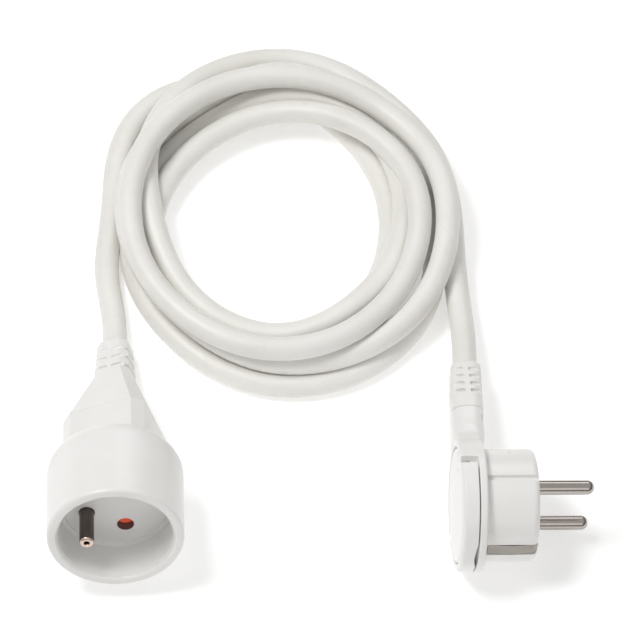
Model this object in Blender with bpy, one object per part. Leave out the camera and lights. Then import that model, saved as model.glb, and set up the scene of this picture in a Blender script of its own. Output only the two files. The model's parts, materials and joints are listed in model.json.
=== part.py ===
"""Extension cord: a coupler socket, a coiled three-core cord and a flat-head plug with a pull handle.

Run with: blender --background --python part.py
Metres, +Z up, lying on the floor z = 0. The coupler is on the left, the coil behind, the plug on the right.
Each housing is built on its own axis (local +Z) and placed by empties.
"""

import math

import bmesh
import bpy
import numpy as np
from mathutils import Vector

MM = 0.001
GAP = 0.3 * MM

# Cord
CORD_RADIUS = 4.1 * MM
CORD_BORE = 4.4 * MM
CORE_RADIUS = 1.3 * MM
COIL_CENTRE = (-13 * MM, 96.15 * MM)
COIL_INNER = 36 * MM
COIL_OUTER = 61.2 * MM
COIL_HEIGHT = 23 * MM
COIL_STRETCH = 1.11
COIL_EDGE = 6 * MM

# Coupler socket, along its axis from the rim (0) to the cord
SOCKET_PLACE = (-66.5 * MM, -39.85 * MM, 29.26 * MM)
SOCKET_TILT = 15.5
SOCKET_YAW = 1.7
SOCKET_ROLL = -18.6
CUP_RADIUS = 22.5 * MM
CUP_LENGTH = 34.5 * MM
CUP_SHOULDER = 7 * MM
CUP_RIM_EDGE = 1.2 * MM
RECESS_RADIUS = 19.2 * MM
RECESS_DEPTH = 15 * MM
BAND_WIDTH = 29 * MM
BAND_HEIGHT = 28.6 * MM
BAND_CHAMFER = 3.8 * MM
BAND_WALL = 1.5 * MM
BAND_END = 48 * MM
RELIEF_WAIST = 72.5 * MM
SOCKET_LENGTH = 87 * MM
CONTACT_OFFSET = 9.5 * MM
EARTH_OFFSET = 10 * MM
PIN_RADIUS = 2.4 * MM
EARTH_PIN_TIP = 1.2 * MM
SHUTTER_START = RECESS_DEPTH + 3.3 * MM
SHUTTER_THICKNESS = 2 * MM
CARRIER_START = SHUTTER_START + SHUTTER_THICKNESS + GAP
CARRIER_END = 27.5 * MM

# Plug, along its pins' axis from the flange's front plane (0); +X is the neck's direction, +Y the upper pin's
PLUG_PLACE = (52.7 * MM, -23.55 * MM, 21.65 * MM)
PLUG_PITCH = 4.8
PLUG_YAW = 2.8
PLUG_ROLL = 9.3
BODY_RADIUS = 18.5 * MM
BODY_LENGTH = 17.4 * MM
BODY_WALL = 2 * MM
BODY_EDGE = 2 * MM
GUIDE_NEAR = -3.4 * MM
GUIDE_FAR = -1.7 * MM
FLANGE_RADIUS = 21.8 * MM
FLANGE_BACK = -2.6 * MM
HEAD_BACK = -8.3 * MM
COVER_BACK = -7.2 * MM
COVER_RADIUS = 18.9 * MM
HANDLE_INNER = 19.3 * MM
HANDLE_FRONT = -3 * MM
HANDLE_BACK = -8.2 * MM
HANDLE_PAST_PIVOT = 1.1 * MM
NOTCH_END = 4.2 * MM
PIVOT_RADIUS = 0.8 * MM
PIN_LENGTH = 19 * MM
NECK_LEAN = math.tan(math.radians(3))
RELIEF_START = 37 * MM
PLUG_REACH = 57 * MM
CLIP_WIDTH = 4.4 * MM
CLIP_THICKNESS = 0.8 * MM

ROUND_STEPS = 48
SECTION_CORNER_STEPS = 6

# Routes of the two free leads, from each strain relief to the coil
SOCKET_LEAD = [
    (-69.0, 44.25, 5.9),
    (-69.2, 50.2, 4.5),
    (-69.6, 55.7, 4.15),
    (-69.9, 60.3, 4.15),
]
PLUG_LEAD = [
    (48.4, 32.95, 12.45),
    (48.5, 39.2, 11.5),
    (48.1, 47.2, 9.9),
    (47.6, 55.2, 8.4),
    (46.9, 61.2, 7.5),
    (46.4, 65.2, 7.2),
]


def look(name, colour, roughness, metallic=0.0):
    """A Principled material of one colour."""
    made = bpy.data.materials.new(name)
    made.use_nodes = True
    shader = made.node_tree.nodes["Principled BSDF"]
    shader.inputs["Base Color"].default_value = (*colour, 1.0)
    shader.inputs["Roughness"].default_value = roughness
    shader.inputs["Metallic"].default_value = metallic
    return made


def empty(name, parent=None, location=(0, 0, 0), degrees=(0, 0, 0)):
    made = bpy.data.objects.new(name, None)
    made.location = location
    made.rotation_euler = [math.radians(angle) for angle in degrees]
    made.parent = parent
    bpy.context.scene.collection.objects.link(made)
    return made


def add(name, mesh_data, parent, material=None, location=(0, 0, 0)):
    made = bpy.data.objects.new(name, mesh_data)
    made.location = location
    made.parent = parent
    bpy.context.scene.collection.objects.link(made)
    if material:
        mesh_data.materials.append(material)
    return made


def finished(name, shape):
    """The bmesh as a mesh with its faces pointing out and its round sides smooth."""
    bmesh.ops.remove_doubles(shape, verts=shape.verts[:], dist=0.001 * MM)
    bmesh.ops.recalc_face_normals(shape, faces=shape.faces[:])
    made = bpy.data.meshes.new(name)
    shape.to_mesh(made)
    shape.free()
    made.shade_smooth()
    made.set_sharp_from_angle(angle=math.radians(30))
    return made


def helper(name, mesh_data, parent):
    """A cutter or an added volume that a Boolean reads, left out of renders."""
    made = add(name, mesh_data, parent)
    made.hide_render = True
    made.display_type = "WIRE"
    return made


def combine(piece, other, operation):
    step = piece.modifiers.new(operation.title() + "_" + other.name, "BOOLEAN")
    step.operation = operation
    step.object = other


def arc(centre_r, centre_z, radius, start, end, steps):
    """Points (r, z) of an arc, angles in degrees from +r towards +z."""
    angles = np.radians(np.linspace(start, end, steps + 1))
    return [(centre_r + radius * math.cos(a), centre_z + radius * math.sin(a)) for a in angles]


def turned(name, profile, closed=False, steps=ROUND_STEPS, centre=(0, 0)):
    """Spins a profile of (r, z) points about the local Z axis through centre."""
    shape = bmesh.new()
    points = [shape.verts.new((centre[0] + r, centre[1], z)) for r, z in profile]
    pairs = list(zip(points, points[1:]))
    if closed:
        pairs.append((points[-1], points[0]))
    edges = [shape.edges.new(pair) for pair in pairs]
    bmesh.ops.spin(
        shape,
        geom=points + edges,
        cent=(*centre, 0),
        axis=(0, 0, 1),
        angle=2 * math.pi,
        steps=steps,
    )
    return finished(name, shape)


def rod(name, radius, start, end, steps=16, centre=(0, 0), round_end=0.0):
    """A round bar along Z, its far end rounded off if asked."""
    profile = [(0, start), (radius, start)]
    if round_end:
        profile += arc(radius - round_end, end - round_end, round_end, 0, 90, 5)
    else:
        profile.append((radius, end))
    if profile[-1][0] > 0:
        profile.append((0, end))
    return turned(name, profile, steps=steps, centre=centre)


def tube(name, inner, outer, start, end, steps=16, centre=(0, 0)):
    profile = [(inner, start), (outer, start), (outer, end), (inner, end)]
    return turned(name, profile, closed=True, steps=steps, centre=centre)


def box(name, low, high):
    shape = bmesh.new()
    bmesh.ops.create_cube(shape, size=1)
    size = Vector(high) - Vector(low)
    middle = (Vector(high) + Vector(low)) / 2
    bmesh.ops.scale(shape, vec=size, verts=shape.verts[:])
    bmesh.ops.translate(shape, vec=middle, verts=shape.verts[:])
    return finished(name, shape)


def boxes(name, corners):
    """Several separate boxes in one mesh."""
    shape = bmesh.new()
    for low, high in corners:
        made = bmesh.ops.create_cube(shape, size=1)["verts"]
        bmesh.ops.scale(shape, vec=Vector(high) - Vector(low), verts=made)
        bmesh.ops.translate(shape, vec=(Vector(high) + Vector(low)) / 2, verts=made)
    return finished(name, shape)


def section(width, height, corner, centre=(0, 0), flat=False):
    """An outline of four rounded or chamfered corners; a corner of half the width makes it a circle."""
    outline = []
    for quarter, (sx, sy) in enumerate([(1, 1), (-1, 1), (-1, -1), (1, -1)]):
        cx = centre[0] + sx * (width / 2 - corner)
        cy = centre[1] + sy * (height / 2 - corner)
        for step in range(SECTION_CORNER_STEPS):
            angle = math.radians(90 * (quarter + (step + 0.5) / SECTION_CORNER_STEPS))
            reach = corner
            if flat:
                angle = math.radians(90 * (quarter + step / (SECTION_CORNER_STEPS - 1)))
                reach = corner / (abs(math.cos(angle)) + abs(math.sin(angle)))
            outline.append((cx + reach * math.cos(angle), cy + reach * math.sin(angle)))
    return outline


def lofted(name, stations, place, ring=False):
    """Joins outlines along an axis; place turns (u, v, along) into a local point."""
    shape = bmesh.new()
    loops = []
    for along, outline in stations:
        loops.append([shape.verts.new(place(u, v, along)) for u, v in outline])
    pairs = list(zip(loops, loops[1:]))
    if ring:
        pairs.append((loops[-1], loops[0]))
    for first, second in pairs:
        for index in range(len(first)):
            after = (index + 1) % len(first)
            shape.faces.new((first[index], first[after], second[after], second[index]))
    if not ring:
        shape.faces.new(loops[0])
        shape.faces.new(loops[-1])
    return finished(name, shape)


def along_z(u, v, along):
    return (u, v, along)


def along_x(u, v, along):
    return (along, u, v)


def smooth_route(points, spacing):
    """Evenly spaced points on one smooth curve through the given points (Catmull-Rom)."""
    knots = [np.array(p, float) for p in points]
    knots = [2 * knots[0] - knots[1]] + knots + [2 * knots[-1] - knots[-2]]
    dense = []
    for p0, p1, p2, p3 in zip(knots, knots[1:], knots[2:], knots[3:]):
        for t in np.linspace(0, 1, 20, endpoint=False):
            bend = 2 * p0 - 5 * p1 + 4 * p2 - p3
            twist = 3 * p1 - p0 - 3 * p2 + p3
            dense.append(0.5 * (2 * p1 + (p2 - p0) * t + bend * t**2 + twist * t**3))
    dense = np.array(dense + [knots[-2]])
    travelled = np.concatenate([[0], np.cumsum(np.linalg.norm(np.diff(dense, axis=0), axis=1))])
    count = max(2, round(travelled[-1] / spacing)) + 1
    wanted = np.linspace(0, travelled[-1], count)
    return np.column_stack([np.interp(wanted, travelled, dense[:, axis]) for axis in range(3)])


def wire(name, points, radius, parent, material, sides=2):
    """A plain round wire or cord: a bevelled poly curve with filled ends."""
    data = bpy.data.curves.new(name, "CURVE")
    data.dimensions = "3D"
    data.bevel_depth = radius
    data.bevel_resolution = sides
    data.use_fill_caps = True
    line = data.splines.new("POLY")
    line.points.add(len(points) - 1)
    for knot, point in zip(line.points, points):
        knot.co = (*point, 1)
    return add(name, data, parent, material)


# Coupler socket ------------------------------------------------------------------------------------


def socket_housing(frame, material):
    rim_in = RECESS_RADIUS + 0.6 * MM
    rim = CUP_RADIUS - CUP_RIM_EDGE
    profile = [(0, 0), (rim_in, 0)]
    profile += arc(rim, CUP_RIM_EDGE, CUP_RIM_EDGE, -90, 0, 4)
    shoulder = CUP_RADIUS - CUP_SHOULDER
    profile += arc(shoulder, CUP_LENGTH - CUP_SHOULDER, CUP_SHOULDER, 0, 90, 7)
    profile.append((0, CUP_LENGTH))
    housing = add("socket_housing", turned("socket_housing", profile), frame, material)

    outline = section(BAND_WIDTH, BAND_HEIGHT, BAND_CHAMFER, flat=True)
    stations = [(RECESS_DEPTH + 5 * MM, outline), (BAND_END, outline)]
    band = helper("band_shape", lofted("band_shape", stations, along_z), frame)
    combine(housing, band, "UNION")

    bore = CUP_RADIUS - 5 * MM
    hollow = [(0, -MM), (RECESS_RADIUS + 1.6 * MM, -MM), (RECESS_RADIUS, 0.6 * MM)]
    hollow += [(RECESS_RADIUS, 28 * MM), (bore - 2.5 * MM, 28 * MM)]
    hollow += [(bore - 2.5 * MM, 29.5 * MM), (0, 29.5 * MM)]
    recess = helper("recess_cutter", turned("recess_cutter", hollow), frame)
    combine(housing, recess, "DIFFERENCE")

    inner = section(BAND_WIDTH - 2 * BAND_WALL, BAND_HEIGHT - 2 * BAND_WALL, 2.4 * MM, flat=True)
    stations = [(29 * MM, inner), (BAND_END + MM, inner)]
    chamber = helper("chamber_cutter", lofted("chamber_cutter", stations, along_z), frame)
    combine(housing, chamber, "DIFFERENCE")


def slot_boxes(start, rib, reach, low, high, count, pitch=3.4 * MM, width=1.3 * MM):
    """Pairs of slots across two opposite faces, each split by a rib; low and high bound them in depth."""
    slots = []
    for step in range(count):
        near = start + step * pitch
        for side in (-1, 1):
            for face in (-1, 1):
                u = sorted((side * rib, side * reach))
                v = sorted((face * low, face * high))
                slots.append((u, v, (near, near + width)))
    return slots


def socket_strain_relief(frame, material):
    start = BAND_END + GAP
    outer = [
        (start, section(BAND_WIDTH, BAND_HEIGHT, BAND_CHAMFER, flat=True)),
        (RELIEF_WAIST, section(12.6 * MM, 11.8 * MM, 2.4 * MM, flat=True)),
        (SOCKET_LENGTH, section(10.8 * MM, 10.6 * MM, 2.2 * MM, flat=True)),
    ]
    bore = section(2 * CORD_BORE, 2 * CORD_BORE, CORD_BORE)
    inner = [
        (SOCKET_LENGTH, bore),
        (60 * MM, bore),
        (start, section(BAND_WIDTH - 2 * BAND_WALL, BAND_HEIGHT - 2 * BAND_WALL, 2.4 * MM)),
    ]
    shape = lofted("socket_strain_relief", outer + inner, along_z, ring=True)
    relief = add("socket_strain_relief", shape, frame, material)
    slots = slot_boxes(RELIEF_WAIST + MM, 0.8 * MM, 8 * MM, 5.1 * MM, 8 * MM, 3, pitch=4.2 * MM)
    corners = [((u[0], v[0], z[0]), (u[1], v[1], z[1])) for u, v, z in slots]
    cutter = helper("socket_slot_cutter", boxes("socket_slot_cutter", corners), frame)
    combine(relief, cutter, "DIFFERENCE")


def recess_insert(frame, material):
    """The recess floor with its skirt, which holds the contact carrier."""
    outer = RECESS_RADIUS - GAP
    floor = RECESS_DEPTH + 3 * MM
    profile = [(0, RECESS_DEPTH), (outer - 2 * MM, RECESS_DEPTH)]
    profile += [(outer - 2 * MM, RECESS_DEPTH - 0.6 * MM), (outer, RECESS_DEPTH - 0.6 * MM)]
    profile += [(outer, CARRIER_END), (outer - 1.6 * MM, CARRIER_END)]
    profile += [(outer - 1.6 * MM, floor), (0, floor)]
    insert = add("recess_insert", turned("recess_insert", profile), frame, material)
    for name, x, y, radius in (
        ("earth_hole_cutter", -EARTH_OFFSET, 0, PIN_RADIUS + GAP),
        ("live_hole_cutter_1", 0, CONTACT_OFFSET, PIN_RADIUS + 0.4 * MM),
        ("live_hole_cutter_2", 0, -CONTACT_OFFSET, PIN_RADIUS + 0.4 * MM),
    ):
        shape = rod(name, radius, RECESS_DEPTH - 2 * MM, floor + MM, centre=(x, y))
        combine(insert, helper(name, shape, frame), "DIFFERENCE")


def contact_carrier(frame, material):
    """The block behind the shutter that holds the three contacts and the shutter's pivot and spring."""
    outer = RECESS_RADIUS - GAP - 1.6 * MM - GAP
    pocket = 3.6 * MM
    pocket_end = CARRIER_START + 5 * MM
    pivot_bore = 1.3 * MM
    profile = [(pocket, CARRIER_START), (outer, CARRIER_START), (outer, CARRIER_END)]
    profile += [(pivot_bore, CARRIER_END), (pivot_bore, pocket_end), (pocket, pocket_end)]
    shape = turned("contact_carrier", profile, closed=True)
    carrier = add("contact_carrier", shape, frame, material)
    for name, x, y, radius in (
        ("carrier_cutter_1", 0, CONTACT_OFFSET, 3.55 * MM),
        ("carrier_cutter_2", 0, -CONTACT_OFFSET, 3.55 * MM),
        ("carrier_cutter_3", -EARTH_OFFSET, 0, PIN_RADIUS + GAP),
    ):
        shape = rod(name, radius, CARRIER_START - 2 * MM, CARRIER_END + 2 * MM, centre=(x, y), steps=20)
        combine(carrier, helper(name, shape, frame), "DIFFERENCE")


def safety_shutter(frame, material):
    """A two-winged disc that turns on its pivot and covers both live holes; its origin is on its axis."""
    shape = bmesh.new()
    outline = []
    hub = 3.2 * MM
    wing = 12.8 * MM
    for turn in (90, 270):
        for angle in np.linspace(turn - 20, turn + 20, 7):
            a = math.radians(angle)
            outline.append((wing * math.cos(a), wing * math.sin(a)))
        for angle in np.linspace(turn + 50, turn + 130, 6):
            a = math.radians(angle)
            outline.append((hub * math.cos(a), hub * math.sin(a)))
    low = [shape.verts.new((x, y, 0)) for x, y in outline]
    face = shape.faces.new(low)
    raised = bmesh.ops.extrude_face_region(shape, geom=[face])["geom"]
    moved = [item for item in raised if isinstance(item, bmesh.types.BMVert)]
    bmesh.ops.translate(shape, vec=(0, 0, SHUTTER_THICKNESS), verts=moved)
    place = (0, 0, SHUTTER_START)
    shutter = add("safety_shutter", finished("safety_shutter", shape), frame, material, place)
    bore = rod("shutter_bore_cutter", 1.4 * MM, -MM, SHUTTER_THICKNESS + MM)
    cutter = helper("shutter_bore_cutter", bore, frame)
    cutter.location = place
    combine(shutter, cutter, "DIFFERENCE")


def spring_coil(name, radius, wire_radius, start, end, turns, parent, material):
    steps = turns * 12
    angles = np.linspace(0, 2 * math.pi * turns, steps + 1)
    heights = np.linspace(start, end, steps + 1)
    points = [(radius * math.cos(a), radius * math.sin(a), z) for a, z in zip(angles, heights)]
    wire(name, points, wire_radius, parent, material, sides=1)


def socket_contacts(frame, brass, plated):
    for name, side in (("socket_contact_1", 1), ("socket_contact_2", -1)):
        centre = (0, side * CONTACT_OFFSET)
        start = CARRIER_START + 0.4 * MM
        bore = PIN_RADIUS - 0.1 * MM
        profile = [(0, 34.2 * MM), (bore, 34.2 * MM), (bore, start), (3.3 * MM, start), (3.3 * MM, 35 * MM)]
        profile += [(1.9 * MM, 35.6 * MM), (1.9 * MM, 39 * MM), (0, 39 * MM)]
        add(name, turned(name, profile, steps=20, centre=centre), frame, brass)
    profile = [(0, EARTH_PIN_TIP), (1.5 * MM, EARTH_PIN_TIP)]
    profile += [(PIN_RADIUS, EARTH_PIN_TIP + 0.8 * MM), (PIN_RADIUS, 27.8 * MM)]
    profile += [(3.4 * MM, 27.8 * MM), (3.4 * MM, 29 * MM), (1.9 * MM, 29 * MM)]
    profile += [(1.9 * MM, 39 * MM), (0, 39 * MM)]
    pin = turned("socket_earth_pin", profile, steps=20, centre=(-EARTH_OFFSET, 0))
    add("socket_earth_pin", pin, frame, plated)


def core_wires(prefix, starts, turns, fan_start, fan_end, frame, looks, place):
    """The three insulated cores, from their contacts to where they enter the cord's sheath."""
    for (u, v), turn, (colour, material) in zip(starts, np.radians(turns), looks):
        end = (2 * MM * math.cos(turn), 2 * MM * math.sin(turn))
        route = []
        for t in np.linspace(0, 1, 9):
            ease = t * t * (3 - 2 * t)
            along = fan_start + (fan_end - fan_start) * t
            route.append(place(u + (end[0] - u) * ease, v + (end[1] - v) * ease, along))
        wire(f"{prefix}_core_{colour}", route, CORE_RADIUS, frame, material, sides=2)


def coupler_socket(looks):
    place = empty("socket_place", None, SOCKET_PLACE, (-90 - SOCKET_TILT, 0, SOCKET_YAW))
    frame = empty("socket_frame", place, degrees=(0, 0, SOCKET_ROLL))
    socket_housing(frame, looks["housing"])
    socket_strain_relief(frame, looks["relief"])
    recess_insert(frame, looks["insert"])
    contact_carrier(frame, looks["inner_plastic"])
    safety_shutter(frame, looks["shutter"])
    pivot = rod("shutter_pivot", 1.1 * MM, SHUTTER_START, CARRIER_END - 0.2 * MM)
    add("shutter_pivot", pivot, frame, looks["steel"])
    start = CARRIER_START + 0.5 * MM
    spring_coil("shutter_spring", 2.6 * MM, 0.3 * MM, start, start + 4 * MM, 4, frame, looks["steel"])
    socket_contacts(frame, looks["brass"], looks["plated"])
    starts = [(0, CONTACT_OFFSET), (0, -CONTACT_OFFSET), (-EARTH_OFFSET, 0)]
    core_wires("socket", starts, (60, 300, 180), 39.3 * MM, 60.2 * MM, frame, looks["cores"], along_z)
    sheath = rod("socket_sheath_end", CORD_RADIUS, 60.5 * MM, SOCKET_LENGTH - GAP, steps=24)
    add("socket_sheath_end", sheath, frame, looks["cord"])


# Plug ----------------------------------------------------------------------------------------------


def plug_body(frame, material):
    """The round front body with its end wall, open at the back where it joins the head."""
    front = BODY_LENGTH
    inside = BODY_RADIUS - BODY_WALL
    profile = [(0, front - BODY_WALL), (inside, front - BODY_WALL), (inside, GAP), (BODY_RADIUS, GAP)]
    profile += arc(BODY_RADIUS - BODY_EDGE, front - BODY_EDGE, BODY_EDGE, 0, 90, 5)
    profile.append((0, front))
    body = add("plug_body", turned("plug_body", profile), frame, material)
    for name, x, y, radius in (
        ("pin_hole_cutter_1", 0, CONTACT_OFFSET, PIN_RADIUS + GAP),
        ("pin_hole_cutter_2", 0, -CONTACT_OFFSET, PIN_RADIUS + GAP),
        ("earth_entry_cutter", -EARTH_OFFSET, 0, PIN_RADIUS + 0.6 * MM),
    ):
        shape = rod(name, radius, front - 4 * MM, front + MM, centre=(x, y), steps=20)
        combine(body, helper(name, shape, frame), "DIFFERENCE")
    past = BODY_RADIUS + 2 * MM
    end = front + MM
    clip = CLIP_WIDTH / 2 + 0.4 * MM
    clip_floor = BODY_RADIUS - CLIP_THICKNESS - 0.9 * MM
    hook_floor = front - CLIP_THICKNESS - 0.3 * MM
    for number, side in enumerate((1, -1), 1):
        y = sorted((side * (BODY_RADIUS - 1.5 * MM), side * past))
        groove = box(f"guide_cutter_{number}", (GUIDE_NEAR, y[0], -MM), (GUIDE_FAR, y[1], end))
        combine(body, helper(f"guide_cutter_{number}", groove, frame), "DIFFERENCE")
        x = sorted((side * clip_floor, side * past))
        seat = box(f"clip_cutter_{number}", (x[0], -clip, -MM), (x[1], clip, end))
        combine(body, helper(f"clip_cutter_{number}", seat, frame), "DIFFERENCE")
        x = sorted((side * (clip_floor - 4.4 * MM), side * past))
        hook = box(f"hook_cutter_{number}", (x[0], -clip, hook_floor), (x[1], clip, end))
        combine(body, helper(f"hook_cutter_{number}", hook, frame), "DIFFERENCE")


def neck_stations():
    """Outlines of the neck along +X: it leaves the head as wide as the disc and narrows to the relief."""
    rows = (
        (9, 39.0, 8.1, -4.2),
        (14, 31.4, 8.1, -4.2),
        (18.6, 22.6, 8.2, -4.2),
        (21, 19.0, 9.6, -3.1),
        (25, 16.0, 10.6, -2.4),
        (30, 14.2, 10.8, -2.1),
        (RELIEF_START / MM - 0.3, 13.4, 10.7, -1.8),
    )
    for along, width, thickness, middle in rows:
        corner = min(width, thickness) / 2 - 1.2
        outline = section(width * MM, thickness * MM, corner * MM, (0, middle * MM))
        yield along * MM, outline


def arc_strip(name, inner, outer, low, high, start, end, steps):
    """A solid part of a flat ring between two angles in degrees."""
    shape = bmesh.new()
    rings = []
    for angle in np.radians(np.linspace(start, end, steps + 1)):
        c, s = math.cos(angle), math.sin(angle)
        corners = ((inner, low), (outer, low), (outer, high), (inner, high))
        rings.append([shape.verts.new((r * c, r * s, z)) for r, z in corners])
    for first, second in zip(rings, rings[1:]):
        for index in range(4):
            after = (index + 1) % 4
            shape.faces.new((first[index], first[after], second[after], second[index]))
    shape.faces.new(rings[0])
    shape.faces.new(rings[-1])
    return finished(name, shape)


def plug_head(frame, material):
    """Flange, rear rim on the neck's side, and the neck, hollow for the pin bridge and the cores."""
    flange = FLANGE_RADIUS
    profile = [(0, 0), (flange - 0.8 * MM, 0), (flange, -0.8 * MM), (flange, FLANGE_BACK)]
    profile += [(COVER_RADIUS, FLANGE_BACK), (COVER_RADIUS, COVER_BACK + 1.8 * MM)]
    profile += [(0, COVER_BACK + 1.8 * MM)]
    head = add("plug_head", turned("plug_head", profile), frame, material)
    half = 90 - math.degrees(math.asin(NOTCH_END / FLANGE_RADIUS))
    rim = arc_strip(
        "rear_rim_shape",
        COVER_RADIUS + GAP,
        FLANGE_RADIUS - 0.02 * MM,
        HEAD_BACK,
        FLANGE_BACK + 0.5 * MM,
        -half,
        half,
        24,
    )
    combine(head, helper("rear_rim_shape", rim, frame), "UNION")
    neck = helper("neck_shape", lofted("neck_shape", list(neck_stations()), along_x), frame)
    combine(head, neck, "UNION")
    well = rod("bridge_cutter", 15.8 * MM, -4.8 * MM, 4 * MM, steps=ROUND_STEPS)
    combine(head, helper("bridge_cutter", well, frame), "DIFFERENCE")
    seat = COVER_BACK + 1.85 * MM
    back = rod("cover_cutter", COVER_RADIUS + GAP, -10 * MM, seat, steps=ROUND_STEPS)
    combine(head, helper("cover_cutter", back, frame), "DIFFERENCE")
    hub = rod("spigot_cutter", 13 * MM, -8 * MM, -4 * MM, steps=32)
    combine(head, helper("spigot_cutter", hub, frame), "DIFFERENCE")
    channel = [(12 * MM, section(9 * MM, 5 * MM, 2 * MM, (0, -2.2 * MM)))]
    channel.append((RELIEF_START + MM, section(9 * MM, 7 * MM, 2.5 * MM, (0, -1.8 * MM))))
    duct = helper("duct_cutter", lofted("duct_cutter", channel, along_x), frame)
    combine(head, duct, "DIFFERENCE")
    axis = (HANDLE_FRONT + HANDLE_BACK) / 2
    for name, side in (("pivot_bore_cutter_1", 1), ("pivot_bore_cutter_2", -1)):
        shape = box(name, (-1.1 * MM, 17.2 * MM, axis - 1.1 * MM), (1.1 * MM, 19.4 * MM, axis + 1.1 * MM))
        cutter = helper(name, shape, frame)
        cutter.rotation_euler.z = 0 if side > 0 else math.pi
        combine(head, cutter, "DIFFERENCE")


def plug_back_cover(frame, material):
    """The flat cap that closes the head, with a slot at each handle pivot."""
    top = COVER_BACK + 1.8 * MM - GAP
    profile = [(0, COVER_BACK), (COVER_RADIUS - 0.6 * MM, COVER_BACK), (COVER_RADIUS, COVER_BACK + 0.5 * MM)]
    profile += [(COVER_RADIUS, top), (12.7 * MM, top), (12.7 * MM, -4.2 * MM), (0, -4.2 * MM)]
    cover = add("plug_back_cover", turned("plug_back_cover", profile), frame, material)
    reach = COVER_RADIUS + MM
    corners = []
    for side in (-1, 1):
        y = sorted((side * 17 * MM, side * reach))
        corners.append(((-1.4 * MM, y[0], -9 * MM), (1.4 * MM, y[1], -4 * MM)))
    cutter = helper("cover_slot_cutter", boxes("cover_slot_cutter", corners), frame)
    combine(cover, cutter, "DIFFERENCE")


def plug_strain_relief(frame, material):
    def station(along, width, thickness, corner):
        middle = -1.8 * MM + (along - RELIEF_START) * NECK_LEAN
        return along, section(width, thickness, corner, (0, middle))

    length = PLUG_REACH - RELIEF_START
    outer = [
        station(RELIEF_START, 13.4 * MM, 10.7 * MM, 3.8 * MM),
        station(RELIEF_START + 0.5 * length, 12.2 * MM, 10.6 * MM, 3.6 * MM),
        station(PLUG_REACH, 11 * MM, 10.2 * MM, 3.4 * MM),
    ]
    bore = 2 * CORD_BORE
    inner = [station(PLUG_REACH, bore, bore, CORD_BORE), station(RELIEF_START, bore, bore, CORD_BORE)]
    shape = lofted("plug_strain_relief", outer + inner, along_x, ring=True)
    relief = add("plug_strain_relief", shape, frame, material)
    slots = slot_boxes(PLUG_REACH - 14 * MM, 0.9 * MM, 8 * MM, 5.1 * MM, 8 * MM, 4, pitch=3.2 * MM)
    shift = (PLUG_REACH - RELIEF_START - 8 * MM) * NECK_LEAN - 1.8 * MM
    corners = [((z[0], v[0], u[0] + shift), (z[1], v[1], u[1] + shift)) for u, v, z in slots]
    cutter = helper("plug_slot_cutter", boxes("plug_slot_cutter", corners), frame)
    combine(relief, cutter, "DIFFERENCE")


def pin_bridge(frame, material):
    """The inner disc that holds both pins and the earth contact."""
    profile = [(0, -3.6 * MM), (15.5 * MM, -3.6 * MM), (15.5 * MM, -0.3 * MM)]
    profile += [(14.8 * MM, 0.4 * MM), (14.8 * MM, 4 * MM), (0, 4 * MM)]
    bridge = add("pin_bridge", turned("pin_bridge", profile, steps=32), frame, material)
    for name, x, y, radius in (
        ("bridge_cutter_1", 0, CONTACT_OFFSET, PIN_RADIUS + GAP),
        ("bridge_cutter_2", 0, -CONTACT_OFFSET, PIN_RADIUS + GAP),
        ("bridge_cutter_3", -EARTH_OFFSET, 0, 3.5 * MM),
    ):
        shape = rod(name, radius, -6 * MM, 6 * MM, centre=(x, y))
        combine(bridge, helper(name, shape, frame), "DIFFERENCE")
    slot = box("bridge_cutter_4", (10 * MM, -3.4 * MM, -9 * MM), (17 * MM, 3.4 * MM, 9 * MM))
    combine(bridge, helper("bridge_cutter_4", slot, frame), "DIFFERENCE")


def plug_pins(frame, material):
    tip = BODY_LENGTH + PIN_LENGTH
    for name, side in (("plug_pin_upper", 1), ("plug_pin_lower", -1)):
        shape = rod(name, PIN_RADIUS, -3 * MM, tip, 20, (0, side * CONTACT_OFFSET), 2.2 * MM)
        add(name, shape, frame, material)


def earth_clips(frame, material):
    """Two sprung strips on the body's sides, hooked over its front edge."""
    outside = BODY_RADIUS - 0.5 * MM
    inside = outside - CLIP_THICKNESS
    front = BODY_LENGTH - 0.1 * MM
    back = 0.8 * MM
    hook = 4 * MM
    outline = [
        (outside, back),
        (outside + 0.3 * MM, 0.5 * BODY_LENGTH),
        (outside, front - 1.5 * MM),
        (outside - 1.2 * MM, front),
        (outside - hook, front),
        (outside - hook, front - CLIP_THICKNESS),
        (outside - 1.2 * MM, front - CLIP_THICKNESS),
        (inside, front - 1.9 * MM),
        (inside + 0.3 * MM, 0.5 * BODY_LENGTH),
        (inside, back),
    ]
    for name, side in (("earth_clip_neck_side", 1), ("earth_clip_handle_side", -1)):
        shape = bmesh.new()
        rows = []
        for y in (-CLIP_WIDTH / 2, CLIP_WIDTH / 2):
            rows.append([shape.verts.new((side * x, y, z)) for x, z in outline])
        shape.faces.new(rows[0])
        shape.faces.new(rows[1])
        for index in range(len(outline)):
            after = (index + 1) % len(outline)
            shape.faces.new((rows[0][index], rows[0][after], rows[1][after], rows[1][index]))
        add(name, finished(name, shape), frame, material)


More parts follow.
